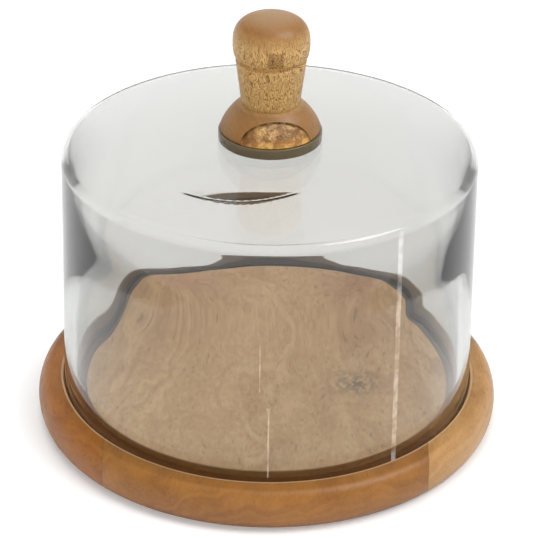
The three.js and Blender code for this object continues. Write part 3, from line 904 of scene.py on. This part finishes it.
knob_wood, tree = new_material("knob_wood")
wood, here = wood_in(tree, UPRIGHT_GRAIN, {
    "Pale": (0.86, 0.54, 0.2, 1), "Deep": (0.62, 0.34, 0.1, 1), "Stain": (0.36, 0.18, 0.05, 1), "Seed": 21.0,
    "Pith": (0.05, 0, 0.02), "Ring Rate": 420.0, "Ring Depth": 0.3, "Vein Rate": 430.0,
    "Vein Colour": (0.24, 0.115, 0.03, 1), "Vein Folds": 8.0, "Vein Length": 3.2, "Vein Width": 0.037,
    "Vein Gaps": 0.05, "Pore Length": 3.0})
figured = times(tree, remap(tree, here["Z"], (KNOB_BASE + 14) * MM, (KNOB_BASE + 18) * MM, 0.18, 1.0),
                remap(tree, here["Z"], (KNOB_BASE + 51) * MM, (KNOB_BASE + 60) * MM, 1.0, 0.12))
tree.links.new(figured, wood.inputs["Vein Depth"])
tree.links.new(times(tree, figured, 0.8), wood.inputs["Pore Depth"])
colour = wood.outputs["Colour"]
smooth_part = minus(tree, 1.0, figured)
colour = blended(tree, smooth_part, colour, (0.27, 0.155, 0.03, 1), "MULTIPLY")
# Painted sheen: the top of the head is paler.
painted_top_sheen = eased(tree, here["Z"], (KNOB_BASE + 61) * MM, (KNOB_BASE + 65) * MM, 0.0, 0.7)
colour = blended(tree, painted_top_sheen, colour, (0.34, 0.22, 0.11, 1))
# A small squarish darker patch, painted on the front of the head.
mark_x = eased(tree, apart(tree, here["X"], MARK_X), 0.0034, 0.0044, 1.0, 0.0)
mark_z = eased(tree, apart(tree, here["Z"], MARK_Z), 0.0036, 0.005, 1.0, 0.0)
mark = times(tree, times(tree, mark_x, mark_z), maths(tree, "LESS_THAN", here["Y"], 0.0))
colour = blended(tree, mark, colour, (0.62, 0.54, 0.4, 1), "MULTIPLY")
finish_wood(tree, colour, wood.outputs["Roughness"], wood.outputs["Height"], 0.00012, 0.2)

scoop_wood, tree = new_material("scoop_wood")
wood, here = wood_in(tree, (0, 0, 0), {
    "Pale": (0.72, 0.42, 0.14, 1), "Deep": (0.28, 0.125, 0.026, 1), "Stain": (0.08, 0.04, 0.012, 1),
    "Seed": 27.0, "Ring Rate": 300.0, "Ring Depth": 0.5, "Vein Rate": 600.0, "Vein Length": 1.0, "Vein Width": 0.08,
    "Vein Depth": 0.7, "Vein Gaps": 0.5, "Pore Depth": 0.6, "Pore Length": 1.0})
flecks = noise(tree, 900.0, 2.0)
middle = remap(tree, apart(tree, here["X"], SCOOP_MIDDLE), 0.003, 0.012, 1.0, 0.0)
high_up = eased(tree, here["Z"], (KNOB_BASE + 3) * MM, (KNOB_BASE + 7) * MM)
torn_share = times(tree, remap(tree, flecks, 0.5, 0.66, 0.0, 0.6), times(tree, middle, high_up))
torn_grain_and_shading = blended(tree, torn_share, wood.outputs["Colour"], (0.6, 0.54, 0.42, 1))
# Painted shade: the scoop is darker at its left end.
shaded_left_end = eased(tree, here["X"], -0.013, -0.004, 0.75, 0.0)
torn_grain_and_shading = blended(tree, shaded_left_end, torn_grain_and_shading, (0.36, 0.22, 0.12, 1), "MULTIPLY")
# Painted light: the scoop is golden low down.
low_painted_shading = eased(tree, here["Z"], (KNOB_BASE + 1) * MM, (KNOB_BASE + 5) * MM, 0.75, 0.0)
torn_grain_and_shading = blended(tree, times(tree, low_painted_shading, minus(tree, 1.0, shaded_left_end)), torn_grain_and_shading, (0.86, 0.48, 0.12, 1))
burr = noise(tree, 260.0, 3.0)
torn_grain_and_shading = blended(tree, eased(tree, burr, 0.42, 0.58, 0.75, 0.0), torn_grain_and_shading, (0.42, 0.28, 0.16, 1), "MULTIPLY")
finish_wood(tree, torn_grain_and_shading, wood.outputs["Roughness"], wood.outputs["Height"], 0.0005, 0.0)

# %% Turn the knob
FOOT_RADIUS = knob_high.x / MM
FOOT_HEIGHT = 15.4
FOOT_EDGE = 1
STEM_BASE = 15.5
STEM_TOP = 18.7
STEM_HEIGHT = 24.4
NECK_DEPTH = 1.5
NECK_HEIGHT = 2.2
HEAD_RADIUS = 20.3
HEAD_LOWER = 7
FOOT_FULLNESS = 1.35
HEAD_FULLNESS = 2.8
BORE = (insert_high.x / MM) + 0.15

knob_top = knob_high.z / MM
foot_top = KNOB_BASE + FOOT_HEIGHT
stem_top = foot_top + STEM_HEIGHT
head_widest = stem_top + NECK_HEIGHT + HEAD_LOWER
bore_top = insert_high.z / MM + 3


def foot_radius(height):
    """Radius of the foot at a height above its own base."""
    rise = min(1.0, max(0.0, (height - FOOT_EDGE) / (FOOT_HEIGHT - FOOT_EDGE)))
    fall = 1 - (1 - rise ** FOOT_FULLNESS) ** (1 / FOOT_FULLNESS)
    return FOOT_RADIUS + (STEM_BASE - FOOT_RADIUS) * fall


knob_outline = [(0, bore_top), (BORE, bore_top), (BORE, KNOB_BASE)]
knob_outline += arc(FOOT_RADIUS - FOOT_EDGE, KNOB_BASE + FOOT_EDGE, FOOT_EDGE, FOOT_EDGE, -90, 0, 5)
knob_outline += [(foot_radius(h), KNOB_BASE + h) for h in
                 FOOT_EDGE + (FOOT_HEIGHT - FOOT_EDGE) * (1 - np.cos(np.linspace(0, np.pi, 33))[1:]) / 2]
knob_outline += [(STEM_BASE + (STEM_TOP - STEM_BASE) * s, foot_top + STEM_HEIGHT * s)
                 for s in np.linspace(0, 1, 14)[1:-1]]
knob_outline += arc(STEM_TOP - 0.5, stem_top - 0.5, 0.5, 0.5, 0, 60, 3)
knob_outline += [(STEM_TOP - NECK_DEPTH, stem_top + NECK_HEIGHT / 2)]
knob_outline += arc(STEM_TOP, head_widest, HEAD_RADIUS - STEM_TOP, HEAD_LOWER, -86, -5, 10)
for angle in np.linspace(0, np.pi / 2, 40):
    out = max(0.0, math.cos(angle)) ** (2 / HEAD_FULLNESS) if angle < np.pi / 2 - 1e-6 else 0
    risen = math.sin(angle) ** (2 / HEAD_FULLNESS)
    knob_outline.append((HEAD_RADIUS * out, head_widest + (knob_top - head_widest) * risen))
knob = turn("mango_knob", knob_outline, 192, knob_wood)

# %% Carve the scoop
SCOOP_HALF = 18.4
SCOOP_HEIGHT = 12.6
SCOOP_DEPTH = 2.2
SCOOP_TURN = math.radians(8)
scoop_noise = np.random.default_rng(5)


def scoop_cutter():
    """A closed shell: an arch on the front of the foot, deepest below its crown."""
    across, upward = 40, 16
    rows = upward + 1
    inner, outer = [], []
    for i in range(across + 1):
        side = -SCOOP_HALF + 2 * SCOOP_HALF * i / across
        top = max(SCOOP_HEIGHT * math.sqrt(max(0.0, 1 - (side / SCOOP_HALF) ** 2)), 0.05)
        for j in range(rows):
            height = -0.6 + (top + 0.6) * j / upward
            share = min(1.0, max(0.0, height / SCOOP_HEIGHT))
            radius = foot_radius(height) - SCOOP_DEPTH * share ** 0.8 + (0 if height > 0 else 0.25)
            radius += 0.12 * scoop_noise.normal() * share
            depth = math.sqrt(max(radius ** 2 - side ** 2, 1.0))
            inner.append((side, -depth, KNOB_BASE + height))
            outer.append((side, -FOOT_RADIUS - 3, KNOB_BASE + height))
    count = len(inner)

    def side_face(a, b, flip):
        corners = (a, count + a, count + b, b)
        return corners[::-1] if flip else corners

    starts = [i * rows + j for i in range(across) for j in range(upward)]
    faces = [(a, a + rows, a + rows + 1, a + 1) for a in starts]
    faces += [tuple(count + v for v in reversed(face)) for face in faces]
    faces += [side_face(i * rows + j, (i + 1) * rows + j, flip)
              for i in range(across) for j, flip in ((0, False), (upward, True))]
    faces += [side_face(i * rows + j, i * rows + j + 1, flip)
              for i, flip in ((0, True), (across, False)) for j in range(upward)]
    mesh = bpy.data.meshes.new("scoop_cutter")
    mesh.from_pydata([Vector(v) * MM for v in inner + outer], [], faces)
    mesh.transform(Matrix.Rotation(SCOOP_TURN, 4, "Z"))
    mesh.materials.append(scoop_wood)
    work = bmesh.new()
    work.from_mesh(mesh)
    bmesh.ops.recalc_face_normals(work, faces=work.faces)
    work.to_mesh(mesh)
    work.free()
    return put_in_scene("scoop_cutter", mesh)


cutter = scoop_cutter()
knob.data.materials.append(scoop_wood)
cut = knob.modifiers.new("scoop", "BOOLEAN")
cut.operation, cut.object, cut.solver, cut.material_mode = "DIFFERENCE", cutter, "EXACT", "TRANSFER"
carved = bpy.data.meshes.new_from_object(knob.evaluated_get(bpy.context.evaluated_depsgraph_get()))
knob.modifiers.clear()
knob.data = carved
bpy.data.objects.remove(cutter)
check_closed(knob)
for polygon in carved.polygons:
    polygon.use_smooth = True
carved.set_sharp_from_angle(angle=math.radians(35))
scoop_index = carved.materials.find(scoop_wood.name)
print("faces on the scoop's floor:", sum(1 for p in carved.polygons if p.material_index == scoop_index))
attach(knob, "dome")
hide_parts("turned_knob")

# %% [markdown]
# ## What holds the knob
# A screw comes up through the glass from inside, with a steel washer and a flanged rubber bush, and
# runs into a brass insert in the knob. Only the flange, the washer and the screw's head can be seen,
# and only from below or through the side of the glass. The thread is a ridge that follows a helix,
# which is a job for Geometry Nodes: one tree serves the screw and the insert.

# %% Metal and rubber finishes


def build_handling_group():
    group = bpy.data.node_groups.new("Handling marks", "ShaderNodeTree")
    add_sockets(group, "INPUT", (("Place", "Vector"), ("Scale", "Float", 400.0)))
    add_sockets(group, "OUTPUT", (("Marks", "Float"), ("Smudges", "Float")))
    given = group.nodes.new("NodeGroupInput").outputs
    fine = node(group, "ShaderNodeTexNoise", {
        "Vector": given["Place"], "Scale": times(group, given["Scale"], 6.0), "Detail": 3.0})
    broad = node(group, "ShaderNodeTexNoise", {
        "Vector": given["Place"], "Scale": given["Scale"], "Detail": 2.0})
    node(group, "NodeGroupOutput", {
        "Marks": remap(group, fine.outputs["Fac"], 0.55, 0.75),
        "Smudges": remap(group, broad.outputs["Fac"], 0.35, 0.65)})
    return group


handling_group = build_handling_group()


def handled(name, clean, worn, roughness, metallic, scale):
    """A finish whose colour, gloss and surface change with handling marks."""
    material, tree = new_material(name)
    marks = node(tree, "ShaderNodeGroup", node_tree=handling_group)
    tree.links.new(on_piece(tree), marks.inputs["Place"])
    marks.inputs["Scale"].default_value = scale
    colour = blended(tree, times(tree, marks.outputs["Smudges"], 0.6), clean, worn)
    rough = maths(tree, "MULTIPLY_ADD", marks.outputs["Smudges"], 0.15, roughness)
    bump = node(tree, "ShaderNodeBump", {
        "Height": marks.outputs["Marks"], "Strength": 0.3, "Distance": 0.00005})
    skin = node(tree, "ShaderNodeBsdfPrincipled", {
        "Base Color": colour, "Roughness": rough, "Metallic": metallic, "Normal": bump.outputs[0]})
    node(tree, "ShaderNodeOutputMaterial", {"Surface": skin.outputs[0]})
    return material


pale_rubber = handled("pale_rubber", (0.72, 0.72, 0.68, 1), (0.6, 0.6, 0.55, 1), 0.5, 0.0, 300.0)
zinc = handled("zinc_plated_steel", (0.62, 0.63, 0.64, 1), (0.5, 0.5, 0.5, 1), 0.25, 1.0, 500.0)
brass = handled("turned_brass", (0.72, 0.52, 0.2, 1), (0.55, 0.38, 0.14, 1), 0.28, 1.0, 500.0)

# %% Build the thread tree


def build_thread_tree():
    tree = bpy.data.node_groups.new("Screw thread", "GeometryNodeTree")
    tree.is_modifier = True
    add_sockets(tree, "INPUT", (
        ("Core", "Geometry"), ("Radius", "Float"), ("Pitch", "Float"), ("Length", "Float"),
        ("Start", "Float"), ("Ridge", "Float"), ("Finish", "Material")))
    add_sockets(tree, "OUTPUT", (("Threaded", "Geometry"),))
    given = tree.nodes.new("NodeGroupInput").outputs
    turns = maths(tree, "DIVIDE", given["Length"], given["Pitch"])
    helix = node(tree, "GeometryNodeCurveSpiral", {
        "Resolution": 32, "Rotations": turns, "Start Radius": given["Radius"], "End Radius": given["Radius"],
        "Height": given["Length"]})
    raised = node(tree, "GeometryNodeTransform", {
        "Geometry": helix.outputs[0],
        "Translation": node(tree, "ShaderNodeCombineXYZ", {"Z": given["Start"]}).outputs[0]})
    ridge = node(tree, "GeometryNodeCurvePrimitiveCircle", {"Resolution": 4, "Radius": given["Ridge"]})
    swept = node(tree, "GeometryNodeCurveToMesh", {
        "Curve": raised.outputs[0], "Profile Curve": ridge.outputs[0], "Fill Caps": True})
    joined = tree.nodes.new("GeometryNodeJoinGeometry")
    tree.links.new(swept.outputs[0], joined.inputs[0])
    tree.links.new(given["Core"], joined.inputs[0])
    real = node(tree, "GeometryNodeRealizeInstances", {"Geometry": joined.outputs[0]})
    painted = node(tree, "GeometryNodeSetMaterial", {
        "Geometry": real.outputs[0], "Material": given["Finish"]})
    node(tree, "NodeGroupOutput", {"Threaded": painted.outputs[0]})
    return tree


thread_tree = build_thread_tree()


def threaded(name, core, finish, radius, pitch, start, length, ridge):
    made = run_tree(name, core.data, thread_tree, {
        "Radius": radius * MM, "Pitch": pitch * MM, "Length": length * MM, "Start": start * MM,
        "Ridge": ridge * MM, "Finish": finish})
    bpy.data.objects.remove(core)
    made.data.set_sharp_from_angle(angle=math.radians(35))
    print(f"{made.name}: thread of {length / pitch:.0f} turns, {len(made.data.polygons)} faces")
    return made


# %% Bush, washer, screw and insert
SLEEVE_RADIUS = 5.7
flange_radius = grommet_high.x / MM
low, sleeve_top = grommet_low.z / MM, grommet_high.z / MM
bush_outline = [(SHANK_HOLE, low)] + arc(flange_radius - 0.5, low + 0.5, 0.5, 0.5, -90, 0, 4)
bush_outline += [(flange_radius, crown_under - SEAT_GAP), (SLEEVE_RADIUS, crown_under - SEAT_GAP),
                 (SLEEVE_RADIUS, sleeve_top), (SHANK_HOLE, sleeve_top)]
bush = turn("rubber_bush", closed(bush_outline), 96, pale_rubber)

washer_radius = washer_high.x / MM
low, high = washer_low.z / MM, washer_high.z / MM - SEAT_GAP
washer_outline = [(SHANK_HOLE, low)] + arc(washer_radius - 0.3, low + 0.3, 0.3, 0.3, -90, 0, 4)
washer_outline += [(washer_radius, high), (SHANK_HOLE, high)]
washer = turn("steel_ring", closed(washer_outline), 96, zinc)

SCREW_HEAD = screw_high.x / MM
SHANK = 2.6
low, seat, tip = screw_low.z / MM, washer_low.z / MM - SEAT_GAP, screw_high.z / MM
SOCKET_RADIUS, SOCKET_DEPTH = 2.0, 2.2
HEAD_SIDE = 1.8
THREAD_START, THREAD_LENGTH = 168, 16
screw_outline = [(0, low + SOCKET_DEPTH), (SOCKET_RADIUS, low + SOCKET_DEPTH), (SOCKET_RADIUS + 0.1, low + 0.05)]
screw_outline += arc(0, seat - HEAD_SIDE, SCREW_HEAD, seat - HEAD_SIDE - low, -66, 0, 12)
screw_outline += [(SCREW_HEAD, seat), (SHANK, seat), (SHANK, tip - 0.6), (SHANK - 0.6, tip), (0, tip)]
screw = threaded("clamp_screw", turn("screw_blank", screw_outline, 96, zinc), zinc,
                 SHANK, 1.0, THREAD_START, THREAD_LENGTH, 0.38)

low, high = insert_low.z / MM, insert_high.z / MM
INSERT_BORE = 3.05
insert_core = insert_high.x / MM - 0.5
insert_outline = [(INSERT_BORE, low), (insert_core, low), (insert_core, high), (INSERT_BORE, high)]
insert = threaded("brass_insert", turn("insert_blank", closed(insert_outline), 96, brass), brass,
                  insert_core, 1.6, low + 1, high - low - 2, 0.45)

for piece, cad_node, slot in ((bush, "glass_grommet", "pale_rubber"), (washer, "steel_washer", "zinc_steel"),
                              (screw, "knob_screw", "zinc_steel"), (insert, "threaded_insert", "brass")):
    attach(piece, "dome")
    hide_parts(cad_node)

# %% [markdown]
# ## Last look
# The colours are shown with the Standard view transform.

# %% Finish
bpy.context.scene.view_settings.view_transform = "Standard"
